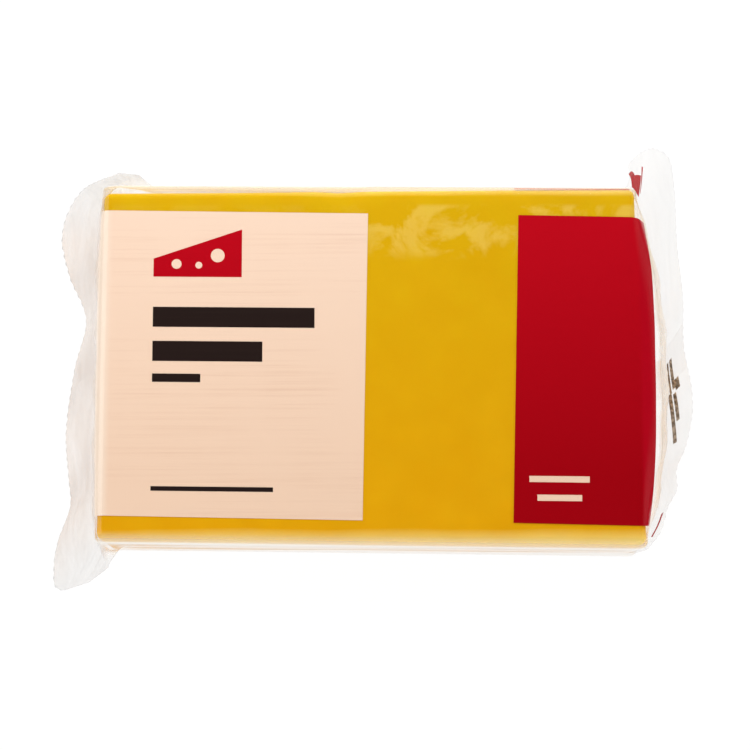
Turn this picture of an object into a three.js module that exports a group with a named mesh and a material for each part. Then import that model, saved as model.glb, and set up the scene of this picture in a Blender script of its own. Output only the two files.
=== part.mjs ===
// A one-pound block of cheddar sealed in clear film, lying on its back with the printed front up.
// The film is a tube round the block. Each end of the tube is pressed flat, sealed and cut off, so the
// pack ends in a thin wavy fin whose two corners stand out past the block as ears.
// Millimetres, +Z up, +X along the block. The origin is the centre of the flat back of the block.
import * as THREE from "three";
import { mergeVertices } from "three/addons/utils/BufferGeometryUtils.js";

// The cut block of cheese.
const BLOCK_LENGTH = 140.2;
const BLOCK_WIDTH = 92.4;
const BLOCK_THICKNESS = 32.5;

// How far the film stands off the cheese, and how tightly it bends round the edges of the block.
const SLACK_AT_SIDES = 0.95;
const SLACK_ON_TOP = 0.4;
const LONG_EDGE_RADIUS = 2.6;
const END_EDGE_RADIUS = 2.4;

// The sealed fin is two layers of film, given enough thickness to be a solid.
const FIN_THICKNESS = 0.8;

// The two sealed ends. slack: how far the film stands off the end of the block. taper: how much further
// out the end of the block is at -Y, and further in at +Y. spread: how much further out each side of the
// tube is than at the middle of the block. shift: how far the tube lies to +Y of the block.
// gussets: how far before the end of the block the sides of the film leave it at mid-height, at -Y and at
// +Y, to fold into the ears. ears: the share of the seal that each ear takes, at -Y and at +Y.
// fullness: how far the film swells out in the middle, between the block and the seal. seal and cut:
// lines from the ear at -Y to the ear at +Y, as [x, y, z], where the two layers of film come together
// and where the fin is cut off.
const ENDS = {
  left: {
    slack: 0.3,
    taper: 0.25,
    spread: -0.25,
    shift: 1.15,
    gussets: [5, 16],
    ears: [0.06, 0.09],
    fullness: 1,
    seal: [
      [-69.3, -51.2, 12.5], [-72.6, -42, 15], [-73.2, -20, 17], [-73, 4, 16], [-73.2, 26, 17.5],
      [-72, 42, 18.5], [-68.4, 50, 19], [-62, 53.6, 19.5],
    ],
    cut: [
      [-74.9, -55, 9.5], [-83.4, -56.6, 8], [-84.2, -50, 9.5], [-82.8, -43.8, 12], [-79.3, -35, 15.5],
      [-79.6, -28.5, 17.5], [-81, -15.6, 14.5], [-78.6, 1.3, 17.5], [-76.2, 15.2, 14.5], [-80.2, 25.6, 19],
      [-82.8, 36.5, 17], [-81, 43.6, 19], [-76.6, 49.6, 20.5], [-67.5, 54, 20],
    ],
  },
  right: {
    slack: 0.3,
    taper: 0.85,
    spread: 0.25,
    shift: 0,
    gussets: [5, 3],
    ears: [0.03, 0.08],
    fullness: 6,
    seal: [
      [69.8, -47.4, 13], [74.6, -38.5, 15], [77, -20, 16.5], [77.4, 2, 15.5], [76.4, 20, 17],
      [73.4, 38, 18], [69.4, 53, 17.5],
    ],
    cut: [
      [73.6, -46.2, 11], [77.2, -41.4, 11.5], [78.9, -35.2, 13], [81.2, -30.6, 15], [81, -25.4, 16.5],
      [83.6, -19.4, 15.5], [85.7, -9.6, 15.5], [85.2, -3.2, 17.5], [83.7, 8, 15], [83.4, 20.3, 17.5],
      [82.3, 36, 15.5], [81.6, 51, 17.5], [79.9, 59, 18.5], [75.9, 61.5, 17.5], [72.6, 60.4, 16.5],
      [69.3, 57.3, 16.5],
    ],
  },
};

// The swelling dies out this far towards the ears, as a share of the flat tube's half width.
const FULL_SHARE = 0.7;

// Soft pleats across the slope, deepest towards the seal.
const PLEAT_HEIGHT = 0.5;
const PLEATS_ACROSS = 7;

// How the surface is divided: along the block and each end, across the section and up its sides, and
// on each half of a rounded long edge.
const STEPS = { body: 4, corner: 3, slope: 5, fin: 4 };
const STEPS_ACROSS = 40;
const STEPS_UP_SIDES = 16;
const STEPS_ON_EDGE = 2;

const HALF_WIDTH = BLOCK_WIDTH / 2 + SLACK_AT_SIDES;
const HALF_HEIGHT = (BLOCK_THICKNESS + SLACK_ON_TOP) / 2;
const HALF_TUBE = HALF_WIDTH + HALF_HEIGHT;
const FACE_SHARE = HALF_WIDTH / HALF_TUBE;
const STEPS_PER_END = STEPS.corner + STEPS.slope + STEPS.fin;
const STEPS_ALONG = STEPS.body + 2 * STEPS_PER_END;

const curveThrough = (points) =>
  new THREE.CatmullRomCurve3(points.map((p) => new THREE.Vector3(...p)), false, "centripetal");

const [leftEnd, rightEnd] = [ENDS.left, ENDS.right].map((end) => ({
  ...end,
  seal: curveThrough(end.seal),
  cut: curveThrough(end.cut),
}));

// The film's flat-tube coordinate, from -1 at one ear to 1 at the other: v runs across the section and
// w up it, both from -1 to 1, and the sides of the tube unfold into the ears.
function acrossFlatTube(v, w) {
  const unfolded = HALF_WIDTH + (1 - Math.abs(w)) * HALF_HEIGHT;
  return (v * unfolded) / HALF_TUBE;
}

// The share of a seal's length, from the ear at -Y, where a place across the flat tube is sealed. The face
// of the block keeps its width there, and the ears take up the rest.
function shareOfSeal(end, flat) {
  const [nearEar, farEar] = end.ears;
  if (flat < -FACE_SHARE) return (nearEar * (flat + 1)) / (1 - FACE_SHARE);
  if (flat > FACE_SHARE) return 1 - (farEar * (1 - flat)) / (1 - FACE_SHARE);
  return nearEar + ((1 - nearEar - farEar) * (flat / FACE_SHARE + 1)) / 2;
}

// A point of the rounded section of the wrapped block, as [y, z], before the tube's shift.
function sectionPoint(v, w, halfWidth) {
  const y = v * halfWidth;
  const z = w * HALF_HEIGHT;
  const innerY = THREE.MathUtils.clamp(y, LONG_EDGE_RADIUS - halfWidth, halfWidth - LONG_EDGE_RADIUS);
  const innerZ = THREE.MathUtils.clamp(z, LONG_EDGE_RADIUS - HALF_HEIGHT, HALF_HEIGHT - LONG_EDGE_RADIUS);
  const reach = Math.hypot(y - innerY, z - innerZ) || 1;
  const roundness = Math.min(LONG_EDGE_RADIUS / reach, 1);
  return [innerY + (y - innerY) * roundness, HALF_HEIGHT + innerZ + (z - innerZ) * roundness];
}

// Where the film turns over the end of the block: at its end face, and earlier on its sides.
function leaveBlockAt(end, v, w) {
  const onSide = Math.abs(v) === 1;
  const gusset = end.gussets[v < 0 ? 0 : 1];
  return BLOCK_LENGTH / 2 + end.slack - end.taper * v - (onSide ? gusset * (1 - Math.abs(w)) : 0);
}

// A point on one end of the tube. step counts from where the film leaves the block to the cut edge.
function endPoint(end, v, w, step) {
  const flat = acrossFlatTube(v, w);
  const across = shareOfSeal(end, flat);
  const layer = new THREE.Vector3(0, 0, (w * FIN_THICKNESS) / 2);
  const sealed = end.seal.getPointAt(across).add(layer);
  if (step > STEPS.corner + STEPS.slope) {
    const cut = end.cut.getPointAt(across).add(layer);
    return sealed.lerp(cut, (step - STEPS.corner - STEPS.slope) / STEPS.fin);
  }
  const [y, z] = sectionPoint(v, w, HALF_WIDTH + end.spread);
  const outward = Math.sign(sealed.x);
  const corner = new THREE.Vector3(outward * leaveBlockAt(end, v, w), y + end.shift, z);
  const before = corner.clone();
  before.x -= outward * END_EDGE_RADIUS;
  const swell = end.fullness * Math.max(1 - (flat / FULL_SHARE) ** 2, 0);
  const swollen = new THREE.Vector3(outward * swell, 0, w * swell);
  const crown = corner.clone().lerp(sealed, 0.5).add(swollen);
  const after = corner.clone().lerp(crown, END_EDGE_RADIUS / corner.distanceTo(crown));
  if (step <= STEPS.corner)
    return new THREE.QuadraticBezierCurve3(before, corner, after).getPoint(step / STEPS.corner);
  const down = (step - STEPS.corner) / STEPS.slope;
  const pleat = Math.cos(2 * Math.PI * PLEATS_ACROSS * across) * Math.sin(Math.PI * down) * down;
  const slope = new THREE.QuadraticBezierCurve3(after, crown, sealed).getPoint(down);
  return slope.add(new THREE.Vector3(outward * PLEAT_HEIGHT * pleat, 0, 0));
}

// A point of the film. column counts along the tube from the left cut edge to the right one.
function filmPoint(column, v, w) {
  const alongBody = (column - STEPS_PER_END) / STEPS.body;
  if (alongBody <= 0) return endPoint(leftEnd, v, w, STEPS_PER_END - column);
  if (alongBody >= 1) return endPoint(rightEnd, v, w, column - STEPS_PER_END - STEPS.body);
  return endPoint(leftEnd, v, w, 0).lerp(endPoint(rightEnd, v, w, 0), alongBody);
}

// Spreads the rows of a face, counted from its middle, so that the last ones lie on the rounded edges.
function shareOfFace(row, rows, halfSize) {
  const straight = 1 - LONG_EDGE_RADIUS / halfSize;
  const straightRows = rows / 2 - STEPS_ON_EDGE;
  const onEdge = Math.max(Math.abs(row) - straightRows, 0) / STEPS_ON_EDGE;
  const onStraight = Math.min(Math.abs(row) / straightRows, 1);
  return Math.sign(row) * (onEdge === 1 ? 1 : onStraight * straight + onEdge * (1 - straight));
}

// The pack starts as a box of unit cells and each of its corners is carried to its place on the film.
function wrappedBlock() {
  const box = new THREE.BoxGeometry(
    STEPS_ALONG, STEPS_ACROSS, STEPS_UP_SIDES,
    STEPS_ALONG, STEPS_ACROSS, STEPS_UP_SIDES,
  );
  box.deleteAttribute("normal");
  box.deleteAttribute("uv");
  const places = box.getAttribute("position");
  for (let i = 0; i < places.count; i++) {
    const column = Math.round(places.getX(i) + STEPS_ALONG / 2);
    const v = shareOfFace(Math.round(places.getY(i)), STEPS_ACROSS, HALF_WIDTH);
    const w = shareOfFace(Math.round(places.getZ(i)), STEPS_UP_SIDES, HALF_HEIGHT);
    places.setXYZ(i, ...filmPoint(column, v, w).toArray());
  }
  const solid = mergeVertices(box);
  solid.computeVertexNormals();
  return solid;
}

const cheddarUnderFilm = new THREE.MeshStandardMaterial({
  color: 0xe2ac0e,
  roughness: 0.3,
  metalness: 0,
});

const pack = new THREE.Mesh(wrappedBlock(), cheddarUnderFilm);
pack.name = "cheddar_pack";

const part = new THREE.Group();
part.add(pack);

export default part;
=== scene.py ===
import math

import bmesh
import bpy
from mathutils import Matrix, Vector, noise


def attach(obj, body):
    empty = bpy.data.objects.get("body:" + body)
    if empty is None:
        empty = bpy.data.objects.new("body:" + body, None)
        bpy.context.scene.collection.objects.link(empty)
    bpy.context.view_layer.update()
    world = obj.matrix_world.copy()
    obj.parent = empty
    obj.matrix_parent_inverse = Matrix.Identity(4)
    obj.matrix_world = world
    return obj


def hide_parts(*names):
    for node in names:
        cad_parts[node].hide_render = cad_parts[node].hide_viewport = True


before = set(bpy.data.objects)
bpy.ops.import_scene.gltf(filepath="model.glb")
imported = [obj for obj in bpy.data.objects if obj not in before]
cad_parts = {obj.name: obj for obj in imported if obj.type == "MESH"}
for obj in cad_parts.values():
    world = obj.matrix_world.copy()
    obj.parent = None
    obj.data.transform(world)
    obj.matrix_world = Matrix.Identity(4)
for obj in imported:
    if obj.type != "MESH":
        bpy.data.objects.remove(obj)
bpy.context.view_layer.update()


# The block of cheese: a one-pound bar of firm golden cheddar, pressed as curd and cut to size by wires.
# Its faces are flat and dense with a faint knit of curd, and its edges have gone soft under the film.
BLOCK_LENGTH = 0.1402
BLOCK_WIDTH = 0.0924
BLOCK_THICKNESS = 0.0325
BLOCK_EDGE_RADIUS = 0.002
BLOCK_EDGE_STEPS = 4
BLOCK_CELL = 0.003
SAME_LENGTH = 0.00001
FILM_UNDER_BLOCK = 0.0003
BLOCK_ASIDE = 0.0002
END_TAPERS = {-1: 0.00025, 1: 0.00085}
SIDE_TAPER = 0.0006
UNEVENNESS = 0.0001
HOLLOWS_PER_METRE = 45
DENT_AT = Vector((-0.008, BLOCK_WIDTH / 2, BLOCK_THICKNESS))
DENT_DEPTH = 0.0004
DENT_RADIUS = 0.0035
# Painted light: the gold shifts from orange at the near edge to yellower at the far edge, standing in for
# how the light falls across the block. The cloud and curd golds are its own tone.
GOLD_IN_NEAR_LIGHT, GOLD_IN_FAR_LIGHT = (231, 164, 7), (213, 171, 10)
CLOUD_GOLD, CURD_GOLD = (236, 188, 22), (214, 152, 4)
# Painted light: the first of these is the sheen of the pale patches, the second the highlight along the long
# top edges.
SHEEN_GOLD, EDGE_HIGHLIGHT_GOLD = (252, 228, 130), (255, 226, 125)
# The painted highlight along the long top edges, a pale band: its width and depth, how far it wanders, and
# how far it lies to +Y.
PALE_EDGE = 0.0037
PALE_EDGE_DEPTH = 4 * PALE_EDGE
EDGE_WANDER = 0.002
EDGE_SHIFT = 0.0011
# Pale patches paint the film's reflection where it has let go of the cheese, a painted sheen, in one band of
# its front. Each bound of the band has its axis, where the patches start and are full, and the share of them
# that is left outside it.
SHEEN_PATCH_BOUNDS = [("Y", 0.027, 0.031, 0), ("Y", 0.043, 0.0415, 0), ("X", -0.006, -0.001, 0.2)]


def feed_socket(tree, socket, value):
    """Sets an input to a plain value, or links another node's output to it."""
    if isinstance(value, bpy.types.NodeSocket):
        tree.links.new(value, socket)
    else:
        socket.default_value = value


def feed(tree, node, **inputs):
    """Sets or links the named inputs of a node."""
    for name, value in inputs.items():
        feed_socket(tree, node.inputs[name.replace("_", " ")], value)


def add_node(tree, kind, settings=(), **inputs):
    """Adds a node with its own settings and inputs."""
    made = tree.nodes.new("ShaderNode" + kind)
    for setting, value in dict(settings).items():
        setattr(made, setting, value)
    feed(tree, made, **inputs)
    return made


def calculate(tree, operation, *values, clamped=False):
    """The result of one operation on plain values or other nodes' outputs."""
    made = add_node(tree, "Math", {"operation": operation, "use_clamp": clamped})
    for socket, value in zip(made.inputs, values):
        feed_socket(tree, socket, value)
    return made.outputs[0]


def graded(tree, value, start, end, low=0, high=1, smooth=False):
    """Goes from low to high while a value goes from start to end, and holds there."""
    course = {"interpolation_type": "SMOOTHSTEP" if smooth else "LINEAR"}
    return add_node(
        tree, "MapRange", course, Value=value, From_Min=start, From_Max=end, To_Min=low, To_Max=high
    ).outputs[0]


def mix_colours(tree, share, first, second):
    """Blends two colours, each a plain value or a socket, and gives the blended colour's socket."""
    mix = add_node(tree, "Mix", {"data_type": "RGBA"})
    for socket, value in ((mix.inputs[0], share), (mix.inputs[6], first), (mix.inputs[7], second)):
        feed_socket(tree, socket, value)
    return mix.outputs[2]


def colour(chart):
    """A shader colour from the red, green and blue steps of a colour chart, 0 to 255."""
    steps = [part / 255 for part in chart]
    return [((s + 0.055) / 1.055) ** 2.4 if s > 0.04 else s / 12.92 for s in steps] + [1]


def start_material(name):
    """A new material, its node tree and its Principled shader."""
    material = bpy.data.materials.new(name)
    material.use_nodes = True
    return material, material.node_tree, material.node_tree.nodes["Principled BSDF"]


def add_piece(name, bm, material):
    """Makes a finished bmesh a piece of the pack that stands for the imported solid."""
    mesh = bpy.data.meshes.new(name)
    bm.to_mesh(mesh)
    bm.free()
    mesh.shade_smooth()
    mesh.materials.append(material)
    piece = bpy.data.objects.new(name, mesh)
    bpy.context.scene.collection.objects.link(piece)
    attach(piece, "root")
    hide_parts("cheddar_pack")
    return piece


block = bmesh.new()
bmesh.ops.create_cube(block, size=1)
bmesh.ops.scale(block, vec=(BLOCK_LENGTH, BLOCK_WIDTH, BLOCK_THICKNESS), verts=block.verts)
bmesh.ops.translate(block, vec=(0, BLOCK_ASIDE, BLOCK_THICKNESS / 2 + FILM_UNDER_BLOCK), verts=block.verts)
bmesh.ops.bevel(
    block,
    geom=block.edges[:],
    offset=BLOCK_EDGE_RADIUS,
    segments=BLOCK_EDGE_STEPS,
    profile=0.5,
    affect="EDGES",
    material=-1,
)
for size in (BLOCK_LENGTH, BLOCK_WIDTH, BLOCK_THICKNESS):
    straight = size - 2 * BLOCK_EDGE_RADIUS
    undivided = [e for e in block.edges if abs(e.calc_length() - straight) < SAME_LENGTH]
    bmesh.ops.subdivide_edges(block, edges=undivided, cuts=round(straight / BLOCK_CELL), use_grid_fill=True)
middle = Vector((0, 0, BLOCK_THICKNESS / 2))
for vert in block.verts:
    hollow = UNEVENNESS * (0.5 + 0.5 * noise.noise(vert.co * HOLLOWS_PER_METRE))
    dent = DENT_DEPTH * math.exp(-(((vert.co - DENT_AT).length / DENT_RADIUS) ** 2))
    inward = Vector([math.copysign(1, c) for c in middle - vert.co])
    vert.co.y += inward.y * hollow - dent
    vert.co.z += inward.z * hollow * (vert.co.z > middle.z) - dent
    along, across = 2 * vert.co.x / BLOCK_LENGTH, 2 * vert.co.y / BLOCK_WIDTH
    vert.co.x += inward.x * hollow - END_TAPERS[-1 if along < 0 else 1] * along * across
    vert.co.y += SIDE_TAPER * along * across

cheddar, tree, surface = start_material("cheddar")
place = add_node(tree, "TexCoord").outputs["Object"]
axes = add_node(tree, "SeparateXYZ", Vector=place).outputs
knit = add_node(tree, "TexVoronoi", {"feature": "SMOOTH_F1"}, Vector=place, Scale=130, Smoothness=0.8)
clouds = add_node(tree, "TexNoise", Vector=place, Scale=55, Detail=5, Roughness=0.6).outputs["Fac"]
pores = add_node(tree, "TexNoise", Vector=place, Scale=900, Detail=2).outputs["Fac"]
blots = add_node(tree, "TexNoise", Vector=place, Scale=70, Detail=6, Roughness=0.6, Distortion=0.5)
wander = add_node(tree, "TexNoise", Vector=place, Scale=38, Detail=3).outputs["Fac"]
# Painted light: the gold blends from the near to the far side of the block.
to_far = graded(tree, axes["Y"], -BLOCK_WIDTH / 2, BLOCK_WIDTH / 2)
gold_in_painted_light = mix_colours(tree, to_far, colour(GOLD_IN_NEAR_LIGHT), colour(GOLD_IN_FAR_LIGHT))
cloudy = graded(tree, clouds, 0.3, 0.8, high=0.3)
gold = mix_colours(tree, cloudy, gold_in_painted_light, colour(CLOUD_GOLD))
curd = graded(tree, knit.outputs["Distance"], 0.1, 0.7, high=0.22)
body = mix_colours(tree, curd, gold, colour(CURD_GOLD))
# Painted sheen: pale patches that stand in for the film's reflection.
sheen_patches = graded(tree, blots.outputs["Fac"], 0.47, 0.56)
for axis, starts, full, least in SHEEN_PATCH_BOUNDS:
    within = graded(tree, axes[axis], starts, full, low=least, smooth=True)
    sheen_patches = calculate(tree, "MULTIPLY", sheen_patches, within)
pale = graded(tree, sheen_patches, 0, 1, high=0.24)
with_painted_sheen = mix_colours(tree, pale, body, colour(SHEEN_GOLD))
# Painted highlight: a pale band along the long top edges of the block.
off_middle = calculate(tree, "ABSOLUTE", calculate(tree, "SUBTRACT", axes["Y"], EDGE_SHIFT))
edge_place = calculate(tree, "MULTIPLY_ADD", wander, EDGE_WANDER, off_middle)
edge_full = (BLOCK_WIDTH + EDGE_WANDER) / 2 + EDGE_SHIFT
along_edge = graded(tree, edge_place, edge_full - PALE_EDGE, edge_full, high=0.95)
near_top = graded(tree, axes["Z"], BLOCK_THICKNESS - PALE_EDGE_DEPTH, BLOCK_THICKNESS)
edge_highlight = calculate(tree, "MULTIPLY", along_edge, near_top)
with_edge_highlight = mix_colours(tree, edge_highlight, with_painted_sheen, colour(EDGE_HIGHLIGHT_GOLD))
sweat = graded(tree, clouds, 0, 1, 0.34, 0.52)
grain = add_node(tree, "Bump", Strength=0.12, Distance=0.0004, Height=pores).outputs[0]
feed(tree, surface, Base_Color=with_edge_highlight, Roughness=sweat, Normal=grain, Specular_IOR_Level=0.02)
feed(tree, surface, Subsurface_Weight=0.12, Subsurface_Radius=(0.004, 0.002, 0.0003), Subsurface_Scale=1)
add_piece("cheddar_block", block, cheddar)


# The film: one clear web folded round the block into a tube and lapped along the back. Each end is
# pressed flat between hot ribbed jaws, sealed and cut off by a toothed knife, so the pack ends in a thin
# ribbed fin. Past the block the film slopes down to the seal, and its sides fold into ears.
MM = 0.001
SLACK_AT_SIDES = 0.00095
SLACK_ON_TOP = 0.0004
LONG_EDGE_RADIUS = 0.0026
END_EDGE_RADIUS = 0.0024
EDGE_RUN_PER_RADIUS = 1.8
LAYER_GAP = 0.0003
SEAM_GAP = 0.000001
FULL_SHARE = 0.7
# Pleats and finer creases across the slopes, the creases as a share of the pleats.
PLEAT_HEIGHT = 0.0005
PLEATS_ACROSS = 7
CREASE_SHARE = 0.7
CREASES_ACROSS, CREASES_DOWN, CREASE_SEED = 55, 2, 7
# Teeth of the cut edge, which the worn knife leaves uneven.
TOOTH_DEPTH = 0.0004
TOOTH_MEAN, TOOTH_CHANGE = 0.7, 0.37
# Long folds on the sides of the block, which fade out past its ends.
SIDE_FOLD = 0.0004
FOLD_HOLLOW = -0.2
FOLDS_ALONG, FOLDS_ROUND, FOLD_SEED = 14, 260, 3.7
FOLDS_PAST_BODY, FOLD_FADE = 0.004, 0.012
COLUMNS = {"body": 60, "corner": 8, "slope": 22, "fin": 14}
ROWS = 256
# The two ends, at -X and at +X. Pairs are for the sides at -Y and at +Y. Seals and cuts run from the ear at
# -Y to the ear at +Y, in millimetres.
ENDS = {
    -1: {
        "slack": 0.0003,
        "spread": -0.00025,
        "shift": 0.00115,
        "haze": 0.2,
        "near_haze": 0,
        "gussets": (0.005, 0.016),
        "ears": (0.06, 0.09),
        "fullness": 0.001,
        "seal": [
            (-69.3, -51.2, 12.5), (-72.6, -42, 15), (-73.2, -20, 17), (-73, 4, 16), (-73.2, 26, 17.5),
            (-72, 42, 18.5), (-68.4, 50, 19), (-62, 53.6, 19.5),
        ],
        "cut": [
            (-74.9, -55, 9.5), (-83.4, -56.6, 8), (-84.2, -50, 9.5), (-82.8, -43.8, 12), (-79.3, -35, 15.5),
            (-79.6, -28.5, 17.5), (-81, -15.6, 14.5), (-78.6, 1.3, 17.5), (-76.2, 15.2, 14.5),
            (-80.2, 25.6, 19), (-82.8, 36.5, 17), (-81, 43.6, 19), (-76.6, 49.6, 20.5), (-67.5, 54, 20),
        ],
    },
    1: {
        "slack": 0.0003,
        "spread": 0.00025,
        "shift": 0,
        "haze": 0.055,
        "near_haze": 0.7,
        "gussets": (0.005, 0.003),
        "ears": (0.03, 0.08),
        "fullness": 0.006,
        "seal": [
            (69.8, -47.4, 13), (74.6, -38.5, 15), (77, -20, 16.5), (77.4, 2, 15.5), (76.4, 20, 17),
            (73.4, 38, 18), (69.4, 53, 17.5),
        ],
        "cut": [
            (73.6, -46.2, 11), (77.2, -41.4, 11.5), (78.9, -35.2, 13), (81.2, -30.6, 15), (81, -25.4, 16.5),
            (83.6, -19.4, 15.5), (85.7, -9.6, 15.5), (85.2, -3.2, 17.5), (83.7, 8, 15), (83.4, 20.3, 17.5),
            (82.3, 36, 15.5), (81.6, 51, 17.5), (79.9, 59, 18.5), (75.9, 61.5, 17.5), (72.6, 60.4, 16.5),
            (69.3, 57.3, 16.5),
        ],
    },
}
NEAR_HAZE_RISE = 2
HALF_WIDTH = BLOCK_WIDTH / 2 + SLACK_AT_SIDES
HALF_HEIGHT = (BLOCK_THICKNESS + SLACK_ON_TOP) / 2
HALF_TUBE = HALF_WIDTH + HALF_HEIGHT
FACE_SHARE = HALF_WIDTH / HALF_TUBE
BODY_ENDS = {side: BLOCK_LENGTH / 2 + end["slack"] - END_EDGE_RADIUS for side, end in ENDS.items()}
CORNER_RUN = EDGE_RUN_PER_RADIUS * END_EDGE_RADIUS


def clamp(value, low=-1, high=1):
    return max(low, min(high, value))


def curve_through(points, steps=40):
    """A smooth line through points in millimetres, as many short steps in metres with their lengths."""
    knots = [Vector(p) * MM for p in points]
    knots = [2 * knots[0] - knots[1], *knots, 2 * knots[-1] - knots[-2]]
    line = [knots[1]]
    for a, b, c, d in zip(knots, knots[1:], knots[2:], knots[3:]):
        before, here, after = (math.sqrt((q - p).length) for p, q in ((a, b), (b, c), (c, d)))
        leaving = here * ((b - a) / before - (c - a) / (before + here) + (c - b) / here)
        arriving = here * ((c - b) / here - (d - b) / (here + after) + (d - c) / after)
        for step in range(1, steps + 1):
            t = step / steps
            line.append(
                (2 * t**3 - 3 * t**2 + 1) * b
                + (t**3 - 2 * t**2 + t) * leaving
                + (3 * t**2 - 2 * t**3) * c
                + (t**3 - t**2) * arriving
            )
    lengths = [0]
    for p, q in zip(line, line[1:]):
        lengths.append(lengths[-1] + (q - p).length)
    return line, lengths


def point_on(curve, share):
    """The point at a share of a curve's length."""
    line, lengths = curve
    wanted = clamp(share, 0, 1) * lengths[-1]
    low, high = 0, len(lengths) - 1
    while high - low > 1:
        half = (low + high) // 2
        low, high = (half, high) if lengths[half] <= wanted else (low, half)
    return line[low].lerp(line[high], (wanted - lengths[low]) / (lengths[high] - lengths[low]))


def bend(a, b, c, t):
    """A point of the round bend from a to c that heads for b."""
    return a.lerp(b, t).lerp(b.lerp(c, t), t)


def round_tube(girth):
    """Where a distance round the tube lies, from the middle of its front: v across the section, w up it,
    and its place across the flattened tube, all from -1 to 1."""
    girth = (girth + 2 * HALF_TUBE) % (4 * HALF_TUBE) - 2 * HALF_TUBE
    front = abs(girth) <= HALF_TUBE
    flat = girth if front else math.copysign(2 * HALF_TUBE - abs(girth), girth)
    w = 1 - max(abs(flat) - HALF_WIDTH, 0) / HALF_HEIGHT
    return clamp(flat / HALF_WIDTH), w if front else -w, flat / HALF_TUBE


def section_point(v, w, half_width):
    """A point of the rounded section of the wrapped block, as y and z."""
    y, z = v * half_width, w * HALF_HEIGHT
    inner_y = clamp(y, LONG_EDGE_RADIUS - half_width, half_width - LONG_EDGE_RADIUS)
    inner_z = clamp(z, LONG_EDGE_RADIUS - HALF_HEIGHT, HALF_HEIGHT - LONG_EDGE_RADIUS)
    reach = math.hypot(y - inner_y, z - inner_z) or 1
    roundness = min(LONG_EDGE_RADIUS / reach, 1)
    return inner_y + (y - inner_y) * roundness, HALF_HEIGHT + inner_z + (z - inner_z) * roundness


def share_of_seal(side, flat):
    """The share of a seal's length, from the ear at -Y, where a place across the flat tube is sealed. The
    face of the block keeps its width there, and the ears take up the rest."""
    near_ear, far_ear = ENDS[side]["ears"]
    if flat < -FACE_SHARE:
        return near_ear * (flat + 1) / (1 - FACE_SHARE)
    if flat > FACE_SHARE:
        return 1 - far_ear * (1 - flat) / (1 - FACE_SHARE)
    return near_ear + (1 - near_ear - far_ear) * (flat / FACE_SHARE + 1) / 2


def end_of_tube(side, girth):
    """The points that film runs through at one end: before, at and after the block's edge, the crown of
    its slope, the seal and the cut."""
    end = ENDS[side]
    v, w, flat = round_tube(girth)
    share = share_of_seal(side, flat)
    sealed = point_on(end["seal_line"], share) + Vector((0, 0, w * LAYER_GAP / 2))
    cut = point_on(end["cut_line"], share)
    y, z = section_point(v, w, HALF_WIDTH + end["spread"])
    gusset = end["gussets"][v > 0] * (1 - abs(w)) if abs(v) == 1 else 0
    reach = BODY_ENDS[side] + END_EDGE_RADIUS - END_TAPERS[side] * v - gusset
    corner = Vector((side * reach, y + end["shift"], z))
    before = corner - Vector((side * END_EDGE_RADIUS, 0, 0))
    swell = end["fullness"] * max(1 - (flat / FULL_SHARE) ** 2, 0)
    crown = corner.lerp(sealed, 0.5) + swell * Vector((side, 0, w))
    after = corner.lerp(crown, END_EDGE_RADIUS / (crown - corner).length)
    return before, corner, after, crown, sealed, cut


def runs_of_end(points):
    """The lengths of film round the block's edge, down the slope and out along the fin."""
    _, _, after, crown, sealed, cut = points
    slope = ((crown - after).length + (sealed - crown).length + (sealed - after).length) / 2
    return CORNER_RUN, slope, (cut - sealed).length


def film_point(along, girth):
    """Where a point of the flat web comes to lie. along is counted from the middle of the block."""
    side = -1 if along < 0 else 1
    points = end_of_tube(side, girth)
    before, corner, after, crown, sealed, cut = points
    past = abs(along) - abs(before.x)
    if past <= 0:
        across_block = end_of_tube(-side, girth)[0]
        return before.lerp(across_block, past * side / (across_block.x - before.x))
    corner_run, slope_run, fin_run = runs_of_end(points)
    if past <= corner_run:
        return bend(before, corner, after, past / corner_run)
    past -= corner_run
    if past <= slope_run:
        down = past / slope_run
        share = share_of_seal(side, round_tube(girth)[2])
        wave = math.cos(2 * math.pi * PLEATS_ACROSS * share)
        crease = noise.noise(Vector((share * CREASES_ACROSS, down * CREASES_DOWN, side * CREASE_SEED)))
        pleat = PLEAT_HEIGHT * (wave + CREASE_SHARE * crease) * math.sin(math.pi * down) * down
        return bend(after, crown, sealed, down) + Vector((side * pleat, 0, 0))
    return sealed.lerp(cut, min((past - slope_run) / fin_run, 1))


def film_relief(along, girth):
    """How far the film stands proud of its mean surface: long folds on the sides of the block."""
    v, w, _ = round_tube(girth)
    if abs(v) < 1:
        return 0
    on_body = clamp((BODY_ENDS[1] + FOLDS_PAST_BODY - abs(along)) / FOLD_FADE, 0, 1)
    folds = noise.noise(Vector((along * FOLDS_ALONG, girth * FOLDS_ROUND, FOLD_SEED)))
    return SIDE_FOLD * max(folds, FOLD_HOLLOW) * on_body * (1 - w * w)


def shape_relief(bm, flat_places, inset=0):
    """Adds the film's relief to a sheet that follows it, and sets the sheet in behind the film."""
    bm.normal_update()
    outward = [vert.normal.copy() for vert in bm.verts]
    for vert, normal, (along, girth) in zip(bm.verts, outward, flat_places):
        vert.co += normal * (film_relief(along, girth) - inset)


for end in ENDS.values():
    end["seal_line"] = curve_through(end["seal"])
    end["cut_line"] = curve_through(end["cut"])

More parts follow.
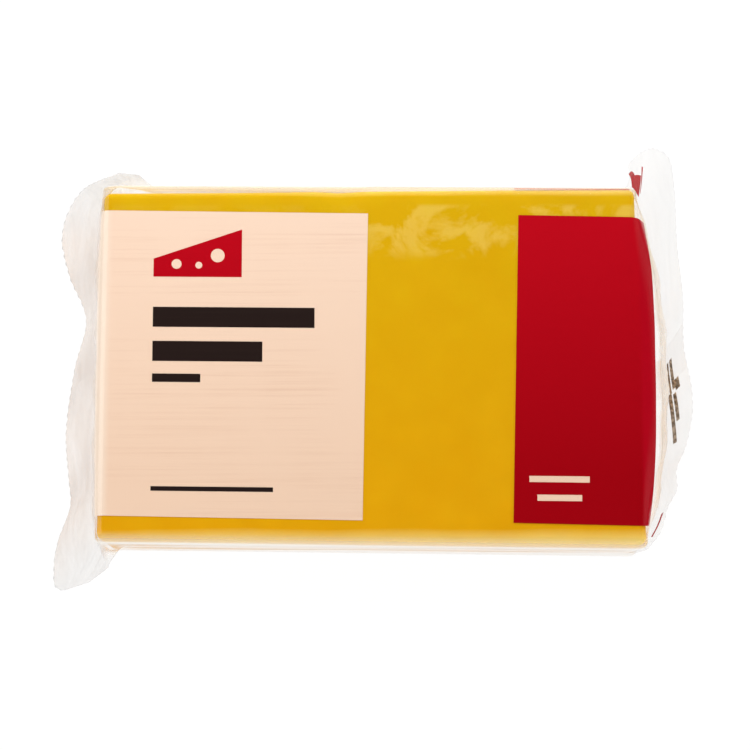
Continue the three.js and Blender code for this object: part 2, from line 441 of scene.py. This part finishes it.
end_columns = [COLUMNS[stretch] for stretch in ("corner", "slope", "fin")]
all_columns = COLUMNS["body"] + 2 * sum(end_columns)
film = bmesh.new()
bmesh.ops.create_grid(film, x_segments=all_columns, y_segments=ROWS, size=0.5)
flat_web = film.loops.layers.uv.new("flat_web")
looseness = film.verts.layers.float.new("looseness")
past_seal = film.verts.layers.float.new("past_seal")
haze_of_end = film.verts.layers.float.new("haze")
flat_places = []
for vert in film.verts:
    column = round(vert.co.x * all_columns)
    row = round((vert.co.y + 0.5) * ROWS)
    girth = (2 * row / ROWS - 1) * 2 * HALF_TUBE
    side = 1 if column > 0 else -1
    points = end_of_tube(side, girth)
    along = abs(points[0].x) * clamp(column / (COLUMNS["body"] / 2))
    columns_past = abs(column) - COLUMNS["body"] / 2
    if columns_past > 0:
        runs = runs_of_end(points)
        shares = []
        for columns in end_columns:
            shares.append(clamp(columns_past / columns, 0, 1))
            columns_past -= columns
        if shares[-1] == 1 and row % 2:
            worn = TOOTH_MEAN + noise.noise(Vector((row * TOOTH_CHANGE, side, 0)))
            shares[-1] -= TOOTH_DEPTH * worn / runs[-1]
        along += side * sum(share * run for share, run in zip(shares, runs))
        vert[looseness] = shares[1]
        vert[past_seal] = shares[2] * runs[2]
        nearness = clamp(-NEAR_HAZE_RISE * round_tube(girth)[2], 0, 1)
        vert[haze_of_end] = shares[1] * ENDS[side]["haze"] * (1 + ENDS[side]["near_haze"] * nearness)
    flat_places.append((along, girth))
    vert.co = film_point(along, girth)
film.verts.index_update()
for face in film.faces:
    for loop in face.loops:
        loop[flat_web].uv = flat_places[loop.vert.index]
shape_relief(film, flat_places)
bmesh.ops.remove_doubles(film, verts=film.verts, dist=SEAM_GAP)
bmesh.ops.recalc_face_normals(film, faces=film.faces)

MIRRORED_HEAD_ON = 0.04
GRAZING_POWER = 5
CUT_EDGE_ANGLE = math.radians(70)
RIB_PITCH = 0.0016
RIB_SHARE = 0.3
SEAL_BLEND = 0.0008
LAP_WIDTH = 0.011
LAP_BLEND = 0.0003
LAP_HAZE = 0.12
EAR_FADE = 0.006
CREASE_STRETCH = (230, 60, 1)
# Haze on the sides of the block: how far round the tube it starts and ends, and its level at shares of
# that way. On the far side it is weaker, apart from a stronger stretch beside the cream print.
SIDE_HAZE_FROM, SIDE_HAZE_TO = 0.0441, 0.0841
SIDE_HAZE = [(0.0, 0.0), (0.03, 0.03), (0.085, 0.34), (0.13, 0.42), (0.28, 0.16), (0.9, 0.16), (1.0, 0.0)]
FAR_HAZE, FAR_HAZE_BY_CREAM = 0.6, 1.2
BY_CREAM_TO, PAST_CREAM_FROM = -0.003, 0.001
FAR_BLEND = 0.001
BLOCK_HAZE_TINT, MIRROR_TINT = (250, 244, 230), (250, 248, 245)
FIN_TINT, EAR_TINT = (216, 187, 162), (226, 221, 217)
clear_film, tree, surface = start_material("clear_film")
web = add_node(tree, "UVMap", {"uv_map": "flat_web"}).outputs["UV"]
along, girth, _ = add_node(tree, "SeparateXYZ", Vector=web).outputs
loose, sealed, clouded = (
    add_node(tree, "Attribute", {"attribute_name": layer}).outputs["Fac"]
    for layer in ("looseness", "past_seal", "haze")
)
on_fin = graded(tree, sealed, 0, SEAL_BLEND)
ribs = calculate(tree, "SINE", calculate(tree, "MULTIPLY", sealed, 2 * math.pi / RIB_PITCH))
ribs_on_fin = calculate(tree, "MULTIPLY", ribs, on_fin)
crinkle = add_node(tree, "TexNoise", Vector=web, Scale=240, Detail=4, Roughness=0.6).outputs["Fac"]
loose_crinkle = calculate(tree, "MULTIPLY", crinkle, loose)
height = calculate(tree, "MULTIPLY_ADD", ribs_on_fin, RIB_SHARE, loose_crinkle)
relief = add_node(tree, "Bump", Strength=0.5, Distance=0.0004, Height=height).outputs[0]
round_back = calculate(tree, "ABSOLUTE", girth)
lap_from = 2 * HALF_TUBE - LAP_WIDTH / 2
lap = graded(tree, round_back, lap_from, lap_from + LAP_BLEND, high=LAP_HAZE)
up_side = graded(tree, round_back, SIDE_HAZE_FROM, SIDE_HAZE_TO)
side_haze = add_node(tree, "ValToRGB", Fac=up_side)
stops = side_haze.color_ramp.elements
stops.remove(stops[1])
for share, level in SIDE_HAZE:
    stop = stops[0] if share == 0 else stops.new(share)
    stop.color = (level, level, level, 1)
tight = graded(tree, loose, 0, 0.5, 1, 0)
tight_haze = calculate(tree, "MULTIPLY", side_haze.outputs["Color"], tight)
beside_print = graded(tree, along, BY_CREAM_TO, PAST_CREAM_FROM, FAR_HAZE_BY_CREAM, FAR_HAZE)
by_side = graded(tree, girth, -FAR_BLEND, FAR_BLEND, 1, beside_print)
block_haze = calculate(tree, "MULTIPLY", tight_haze, by_side)
creased = add_node(tree, "Mapping", Vector=web, Scale=CREASE_STRETCH).outputs[0]
creases = add_node(tree, "TexNoise", Vector=creased, Scale=1, Detail=3, Roughness=0.55, Distortion=0.8)
crease = graded(tree, creases.outputs["Fac"], 0.3, 0.7, 0.7, 1.3)
crumpled = calculate(tree, "MULTIPLY", clouded, crease)
seal_haze = calculate(tree, "MAXIMUM", crumpled, lap)
haze = calculate(tree, "MAXIMUM", seal_haze, block_haze)
smooth_to_hazy = graded(tree, haze, 0, 0.06, 0.09, 0.45)
across_flat = calculate(tree, "PINGPONG", girth, HALF_TUBE)
in_ear = graded(tree, across_flat, HALF_WIDTH - 2 * EAR_FADE, HALF_WIDTH)
end_tint = mix_colours(tree, in_ear, colour(FIN_TINT), colour(EAR_TINT))
at_end = graded(tree, seal_haze, 0, 0.15)
haze_tint = mix_colours(tree, at_end, colour(BLOCK_HAZE_TINT), end_tint)
facing = add_node(tree, "LayerWeight", Blend=0.5, Normal=relief).outputs["Facing"]
grazing = calculate(tree, "POWER", facing, GRAZING_POWER)
mirrored = graded(tree, grazing, 0, 1, MIRRORED_HEAD_ON, 1)
seen = calculate(tree, "ADD", mirrored, haze, clamped=True)
mirror_share = calculate(tree, "DIVIDE", mirrored, seen)
tint = mix_colours(tree, mirror_share, haze_tint, colour(MIRROR_TINT))
feed(tree, surface, Base_Color=tint, Metallic=mirror_share, Roughness=smooth_to_hazy, Normal=relief)
through = add_node(tree, "BsdfTransparent", Color=(1, 1, 1, 1))
film_surface = add_node(tree, "MixShader", Fac=seen)
tree.links.new(through.outputs[0], film_surface.inputs[1])
tree.links.new(surface.outputs[0], film_surface.inputs[2])
tree.links.new(film_surface.outputs[0], tree.nodes["Material Output"].inputs["Surface"])
clear_wrap = add_piece("clear_film", film, clear_film)
clear_wrap.data.set_sharp_from_angle(angle=CUT_EDGE_ANGLE)


# The printed panels: fields of cream and red ink on the inside of the film, one pair on the front and
# one on the back that runs up the far side. They follow the film over the ends of the block.
PRINT_CELL = 0.0008
PRINT_INSET = 0.00005
INK_THICKNESS = 0.00001
CREAM_RIGHT = -0.0013
CREAM_END = -BLOCK_LENGTH / 2 - 0.0105
CREAM_TURN = math.radians(-0.4)
CREAM_LEAN = 0.01
CREAM_DROP = -0.00046
RED_LEFT = 0.0377
RED_END = BLOCK_LENGTH / 2 + 0.0041
RED_TURN = math.radians(-0.7)
RED_LEAN = 0.0122
RED_DROP = -0.00116
FRONT_HALF_HEIGHT = 0.0402
# Places round the tube, from the middle of the front, for the panels of the far side and the back.
CREAM_SIDE_LEFT = -0.0515
CREAM_SIDE_FROM, RED_SIDE_FROM = 0.0630, 0.0545
SIDE_TO, BACK_TO = 0.0790, 0.1715
RED_EDGE_FROM, RED_EDGE_TO = 0.0470, 0.0478
# Inks at the near and the far edge of the front, the far one lighter as painted light, their streaks, and
# where painted light lightens them past the cheese.
STREAK_STRETCH = (9, 900, 900)
INK_NEAR, INK_FAR = -0.03, 0.036
CREAM_INKS = (240, 208, 182), (243, 214, 191), (214, 168, 138)
CREAM_STREAKS = 0.6
CREAM_PAINTED_LIGHT_PAST_CHEESE = (-BLOCK_LENGTH / 2 + 0.0028, -BLOCK_LENGTH / 2 + 0.0006, (245, 224, 204))
RED_INKS = (160, 2, 15), (186, 8, 26), (164, 2, 16)
RED_STREAKS = 0.5
RED_PAINTED_LIGHT_PAST_CHEESE = (BLOCK_LENGTH / 2 - 0.0004, BLOCK_LENGTH / 2 + 0.0006, (176, 5, 26))


def lay_on_film(bm, inset):
    """Carries a flat shape, drawn on the opened-out web, to its place behind the wrapped film."""
    flat_places = [(vert.co.x, vert.co.y) for vert in bm.verts]
    for vert in bm.verts:
        vert.co = film_point(vert.co.x, vert.co.y)
    shape_relief(bm, flat_places, inset)


def flat_field(bm, low, high, turn=0, cell=PRINT_CELL):
    """Adds a rectangle of small cells to a flat drawing, from its low to its high corner, turned about
    its middle."""
    size = Vector(high) - Vector(low)
    middle = (Vector(low) + Vector(high)) / 2
    place = (
        Matrix.Translation(middle.to_3d())
        @ Matrix.Rotation(turn, 4, "Z")
        @ Matrix.Diagonal((size.x, size.y, 1, 1))
    )
    cells = [max(math.ceil(side / cell), 2) for side in size]
    bmesh.ops.create_grid(bm, x_segments=cells[0], y_segments=cells[1], size=0.5, matrix=place)


def lean_edge(bm, edge, fixed, lean):
    """Makes one upright edge of a field lean towards +X at its top, while the edge across from it stays."""
    for vert in bm.verts:
        vert.co.x += lean * vert.co.y * (vert.co.x - fixed) / (edge - fixed)


def add_ink(name, drawing, ink, inset):
    """Lays a flat drawing on the film as a thin closed layer of ink."""
    lay_on_film(drawing, inset)
    for edge in drawing.edges:
        edge.smooth = not edge.is_boundary
    piece = add_piece(name, drawing, ink)
    layer = piece.modifiers.new("ink_layer", "SOLIDIFY")
    layer.thickness = INK_THICKNESS
    layer.offset = -1


laid_ink = bpy.data.node_groups.new("laid_ink", "ShaderNodeTree")
for socket, kind in (("Ink", "Color"), ("Far Ink", "Color"), ("Streak", "Color"), ("Streaks", "Float")):
    laid_ink.interface.new_socket(socket, in_out="INPUT", socket_type="NodeSocket" + kind)
for socket, kind in (("Colour", "Color"), ("Roughness", "Float")):
    laid_ink.interface.new_socket(socket, in_out="OUTPUT", socket_type="NodeSocket" + kind)
inks = laid_ink.nodes.new("NodeGroupInput").outputs
place = add_node(laid_ink, "TexCoord").outputs["Object"]
drawn_out = add_node(laid_ink, "Mapping", Vector=place, Scale=STREAK_STRETCH).outputs[0]
lines = add_node(laid_ink, "TexNoise", Vector=drawn_out, Scale=1.6, Detail=5, Roughness=0.7).outputs["Fac"]
patches = add_node(laid_ink, "TexNoise", Vector=place, Scale=42, Detail=3).outputs["Fac"]
marked = graded(laid_ink, lines, 0.5, 0.78)
where = graded(laid_ink, patches, 0.35, 0.7)
some = calculate(laid_ink, "MULTIPLY", marked, where)
strength = calculate(laid_ink, "MULTIPLY", some, inks["Streaks"])
across = add_node(laid_ink, "SeparateXYZ", Vector=place).outputs["Y"]
# Painted light: the ink grows lighter from the near to the far edge of the front.
ink_in_painted_light = mix_colours(laid_ink, graded(laid_ink, across, INK_NEAR, INK_FAR), inks["Ink"], inks["Far Ink"])
streaked = mix_colours(laid_ink, strength, ink_in_painted_light, inks["Streak"])
matt = graded(laid_ink, patches, 0, 1, 0.4, 0.55)
feed(laid_ink, laid_ink.nodes.new("NodeGroupOutput"), Colour=streaked, Roughness=matt)


def ink_material(name, colours, streaks, painted_light_past_cheese=None):
    """An ink with its near, far and streak colours, the far one lighter as painted light. The last argument,
    if given, is where along the pack the ink starts to leave the cheese, where it has left it, and its
    lighter colour there, which is painted light."""
    material, tree, surface = start_material(name)
    near, far, streak = (colour(chart) for chart in colours)
    laid = add_node(
        tree, "Group", {"node_tree": laid_ink}, Ink=near, Far_Ink=far, Streak=streak, Streaks=streaks
    )
    ink = laid.outputs["Colour"]
    if painted_light_past_cheese:
        starts, full, lit = painted_light_past_cheese
        place = add_node(tree, "TexCoord").outputs["Object"]
        along = add_node(tree, "SeparateXYZ", Vector=place).outputs["X"]
        # Painted light: the ink turns lighter where it runs past the cheese.
        ink = mix_colours(tree, graded(tree, along, starts, full), ink, colour(lit))
    feed(tree, surface, Base_Color=ink, Roughness=laid.outputs["Roughness"], Specular_IOR_Level=0)
    return material


cream_ink = ink_material("cream_ink", CREAM_INKS, CREAM_STREAKS, CREAM_PAINTED_LIGHT_PAST_CHEESE)
red_ink = ink_material("red_ink", RED_INKS, RED_STREAKS, RED_PAINTED_LIGHT_PAST_CHEESE)

cream_panel = bmesh.new()
cream_low, cream_high = (side * FRONT_HALF_HEIGHT + CREAM_DROP for side in (-1, 1))
flat_field(cream_panel, (CREAM_END, cream_low), (CREAM_RIGHT, cream_high), CREAM_TURN)
lean_edge(cream_panel, CREAM_RIGHT, CREAM_END, CREAM_LEAN)
add_ink("cream_panel", cream_panel, cream_ink, PRINT_INSET)

red_panel = bmesh.new()
red_low, red_high = (side * FRONT_HALF_HEIGHT + RED_DROP for side in (-1, 1))
flat_field(red_panel, (RED_LEFT, red_low), (RED_END, red_high), RED_TURN)
lean_edge(red_panel, RED_LEFT, RED_END, RED_LEAN)
add_ink("red_panel", red_panel, red_ink, PRINT_INSET)

cream_back = bmesh.new()
flat_field(cream_back, (CREAM_SIDE_LEFT, CREAM_SIDE_FROM), (CREAM_RIGHT, SIDE_TO))
flat_field(cream_back, (-BODY_ENDS[-1], SIDE_TO), (CREAM_RIGHT, BACK_TO))
add_ink("cream_back_panel", cream_back, cream_ink, PRINT_INSET)

red_back = bmesh.new()
flat_field(red_back, (RED_LEFT, RED_SIDE_FROM), (BODY_ENDS[1], BACK_TO))
flat_field(red_back, (RED_LEFT, RED_EDGE_FROM), (BODY_ENDS[1], RED_EDGE_TO), cell=PRINT_CELL / 4)
add_ink("red_back_panel", red_back, red_ink, PRINT_INSET)


# The red of the ear folds: ink of the back panel, which shows from the front where the film is folded up
# into the right ears. There is a three-cornered patch and a fold line on the far ear, and a fold line on
# the near one. Each corner is how far it lies past the end of the block and how far round the tube.
EAR_FOLDS = [
    [(0.0095, 0.0635), (0.0080, 0.0580), (0.0124, 0.0534), (0.0126, 0.0570)],
    [(0.0126, 0.0570), (0.0124, 0.0534), (0.0168, 0.0493), (0.0190, 0.0520)],
    [(0.0200, 0.0532), (0.0179, 0.0492), (0.0185, 0.0489), (0.0212, 0.0522)],
    [(0.0236, -0.0400), (0.0234, -0.0460), (0.0240, -0.0460), (0.0244, -0.0400)],
]
FOLD_CELLS = 8

ear_folds = bmesh.new()
for corners in EAR_FOLDS:
    first, second, third, fourth = (Vector(corner) for corner in corners)
    patch = bmesh.ops.create_grid(ear_folds, x_segments=FOLD_CELLS, y_segments=FOLD_CELLS, size=0.5)
    for vert in patch["verts"]:
        share, rise = vert.co.x + 0.5, vert.co.y + 0.5
        past, girth = first.lerp(second, share).lerp(fourth.lerp(third, share), rise)
        vert.co = (end_of_tube(1, girth)[0].x + past, girth, 0)
add_ink("red_ear_folds", ear_folds, red_ink, PRINT_INSET)


# The plain marks: a red wedge of cheese with round holes and four dark bars on the cream panel, two pale
# bars on the red panel, and a few worn strokes stamped on the right fin. All are ink on the inside of the
# film, printed ahead of the panels.
MARK_INSET = 0.00003
HOLE_INSET = 0.00001
MARK_CELL = 0.0015
WEDGE_LOW, WEDGE_HIGH = (-0.0565, 0.0223), (-0.0335, 0.0350)
WEDGE_TIP_HEIGHT = 0.0048
# Each hole has its middle and its radius, and each bar its left, right, low and high edge.
HOLES = [(-0.0505, 0.0257, 0.0013), (-0.0447, 0.0254, 0.0009), (-0.0398, 0.0280, 0.0018)]
HOLE_SIDES = 28
DARK_BARS = [
    (-0.0565, -0.0145, 0.0090, 0.0143),
    (-0.0565, -0.0280, 0.0000, 0.0053),
    (-0.0565, -0.0440, -0.0055, -0.0033),
    (-0.0565, -0.0250, -0.0339, -0.0327),
]
PALE_BARS = [(0.0409, 0.0564, -0.0306, -0.0290), (0.0429, 0.0544, -0.0354, -0.0338)]
# Each stroke has how far it lies past the seal, its high and low end, and its width.
STROKES = [
    (0.0026, 0.0010, -0.0076, 0.0007),
    (0.0037, 0.0010, -0.0070, 0.0011),
    (0.0049, -0.0050, -0.0078, 0.0016),
    (0.0030, -0.0074, -0.0212, 0.0012),
    (0.0043, -0.0082, -0.0156, 0.0011),
]
DARK_INKS = (38, 27, 25), (40, 29, 26), (58, 44, 38)
DARK_STREAKS = 0.6
STAMP_INK, WORN_STAMP_INK = (104, 86, 70), (190, 172, 150)


def add_bars(name, bars, ink):
    """Prints a group of plain bars as one piece."""
    drawing = bmesh.new()
    for left, right, low, high in bars:
        flat_field(drawing, (left, low), (right, high), cell=MARK_CELL)
    add_ink(name, drawing, ink, MARK_INSET)


wedge = bmesh.new()
flat_field(wedge, WEDGE_LOW, WEDGE_HIGH, cell=MARK_CELL)
rise = Vector(WEDGE_HIGH) - Vector(WEDGE_LOW) - Vector((0, WEDGE_TIP_HEIGHT))
tip = Vector((WEDGE_LOW[0], WEDGE_LOW[1] + WEDGE_TIP_HEIGHT, 0))
bmesh.ops.bisect_plane(
    wedge,
    geom=wedge.verts[:] + wedge.edges[:] + wedge.faces[:],
    plane_co=tip,
    plane_no=(-rise.y, rise.x, 0),
    clear_outer=True,
)
add_ink("wedge_mark", wedge, red_ink, MARK_INSET)

holes = bmesh.new()
for x, y, radius in HOLES:
    spot = Matrix.Translation((x, y, 0))
    bmesh.ops.create_circle(holes, cap_ends=True, radius=radius, segments=HOLE_SIDES, matrix=spot)
add_ink("wedge_holes", holes, cream_ink, HOLE_INSET)

dark_ink = ink_material("dark_ink", DARK_INKS, DARK_STREAKS)
add_bars("dark_bars", DARK_BARS, dark_ink)
add_bars("pale_bars", PALE_BARS, cream_ink)

stamp_ink, tree, surface = start_material("stamp_ink")
place = add_node(tree, "TexCoord").outputs["Object"]
specks = add_node(tree, "TexNoise", Vector=place, Scale=1100, Detail=3, Roughness=0.7).outputs["Fac"]
worn_off = graded(tree, specks, 0.42, 0.62)
stamped = mix_colours(tree, worn_off, colour(STAMP_INK), colour(WORN_STAMP_INK))
feed(tree, surface, Base_Color=stamped, Roughness=0.6, Specular_IOR_Level=0)

strokes = bmesh.new()
for past, high, low, width in STROKES:
    points = end_of_tube(1, (low + high) / 2)
    corner_run, slope_run, _ = runs_of_end(points)
    start = points[0].x + corner_run + slope_run + past
    flat_field(strokes, (start, low), (start + width, high))
add_ink("fin_strokes", strokes, stamp_ink, MARK_INSET)


# The studio: a white table of lit acrylic, two pale walls, soft lights behind the pack, at both its ends
# and in front of it, and a camera almost straight above it.
CAMERA_TILT = math.radians(8.5)
CAMERA_DISTANCE = 0.61
CAMERA_AIM = Vector((0.0012, -0.0026, 0.0325))
SENSOR = 36
LENS = 113.1
TABLE_HALF_SIZE = 2
TABLE_CELLS = 8
TABLE_BELOW_PACK = 0.0003
TABLE_GREY = 0.05
TABLE_GLOW = 0.97
# As the film mirrors it, the table glows near the pack and is dim further out.
NEAR_GLOW, OUTER_GLOW = 0.96, 0.1
NEAR_GLOW_TO, OUTER_GLOW_FROM = 0.115, 0.165
WHITE = (1, 1, 1, 1)
# Each wall has its axis, where its light starts and is full as the sine of an angle, and its level.
WALLS = [("Y", 0.32, 0.5, 0.4), ("X", 0.55, 0.9, 0.35)]
DIM_ROOM = 0.015
SOFTBOXES = {
    "key": {
        "azimuth": 90, "elevation": 34, "distance": 0.45,
        "size": (0.5, 0.3), "power": 2.1, "mirrored": False,
    },
    "left_fill": {
        "azimuth": 180, "elevation": 36, "distance": 0.6,
        "size": (0.6, 0.5), "power": 1.5, "mirrored": True,
    },
    "right_fill": {
        "azimuth": 0, "elevation": 15, "distance": 0.6,
        "size": (0.6, 0.2), "power": 1.0, "mirrored": False,
    },
    "front_low": {
        "azimuth": 270, "elevation": 14, "distance": 0.6,
        "size": (0.9, 0.15), "power": 0.7, "mirrored": False,
    },
    "front_fill": {
        "azimuth": 270, "elevation": 42, "distance": 0.9,
        "size": (1.0, 0.6), "power": 3.85, "mirrored": True,
    },
}

table = bmesh.new()
below = Matrix.Translation((0, 0, -TABLE_BELOW_PACK))
bmesh.ops.create_grid(
    table, x_segments=TABLE_CELLS, y_segments=TABLE_CELLS, size=TABLE_HALF_SIZE, matrix=below
)
table_mesh = bpy.data.meshes.new("table")
table.to_mesh(table_mesh)
table.free()
table_top = bpy.data.objects.new("table", table_mesh)
bpy.context.scene.collection.objects.link(table_top)
lit_acrylic, tree, surface = start_material("lit_acrylic")
place = add_node(tree, "TexCoord").outputs["Object"]
from_pack = add_node(tree, "VectorMath", {"operation": "LENGTH"}, Vector=place).outputs["Value"]
mirrored_glow = graded(tree, from_pack, NEAR_GLOW_TO, OUTER_GLOW_FROM, NEAR_GLOW, OUTER_GLOW)
is_mirrored = add_node(tree, "LightPath").outputs["Is Glossy Ray"]
glow = graded(tree, is_mirrored, 0, 1, TABLE_GLOW, mirrored_glow)
feed(tree, surface, Base_Color=(TABLE_GREY, TABLE_GREY, TABLE_GREY, 1), Roughness=0.9, Specular_IOR_Level=0)
feed(tree, surface, Emission_Color=WHITE, Emission_Strength=glow)
table_mesh.materials.append(lit_acrylic)

studio = bpy.data.worlds.new("studio")
bpy.context.scene.world = studio
studio.use_nodes = True
tree = studio.node_tree
outlook = add_node(tree, "SeparateXYZ", Vector=add_node(tree, "TexCoord").outputs["Generated"]).outputs
far_wall, right_wall = (
    graded(tree, outlook[axis], starts, full, DIM_ROOM, level, smooth=True)
    for axis, starts, full, level in WALLS
)
room = calculate(tree, "ADD", far_wall, right_wall)
to_camera = add_node(tree, "LightPath").outputs["Is Camera Ray"]
feed(tree, tree.nodes["Background"], Color=mix_colours(tree, to_camera, room, WHITE))

for name, box in SOFTBOXES.items():
    lamp = bpy.data.lights.new(name, "AREA")
    lamp.shape = "RECTANGLE"
    lamp.size, lamp.size_y = box["size"]
    lamp.energy = box["power"]
    softbox = bpy.data.objects.new(name, lamp)
    turned = Matrix.Rotation(math.radians(box["azimuth"] + 90), 4, "Z")
    tipped = Matrix.Rotation(math.radians(90 - box["elevation"]), 4, "X")
    softbox.matrix_world = turned @ tipped @ Matrix.Translation((0, 0, box["distance"]))
    softbox.visible_glossy = box["mirrored"]
    bpy.context.scene.collection.objects.link(softbox)

lens = bpy.data.cameras.new("camera")
lens.sensor_width = SENSOR
lens.lens = LENS
camera = bpy.data.objects.new("camera", lens)
camera_place = CAMERA_AIM + Vector((0, -math.sin(CAMERA_TILT), math.cos(CAMERA_TILT))) * CAMERA_DISTANCE
camera.matrix_world = Matrix.Translation(camera_place) @ Matrix.Rotation(CAMERA_TILT, 4, "X")
bpy.context.scene.collection.objects.link(camera)
bpy.context.scene.camera = camera
bpy.context.scene.view_settings.view_transform = "Standard"
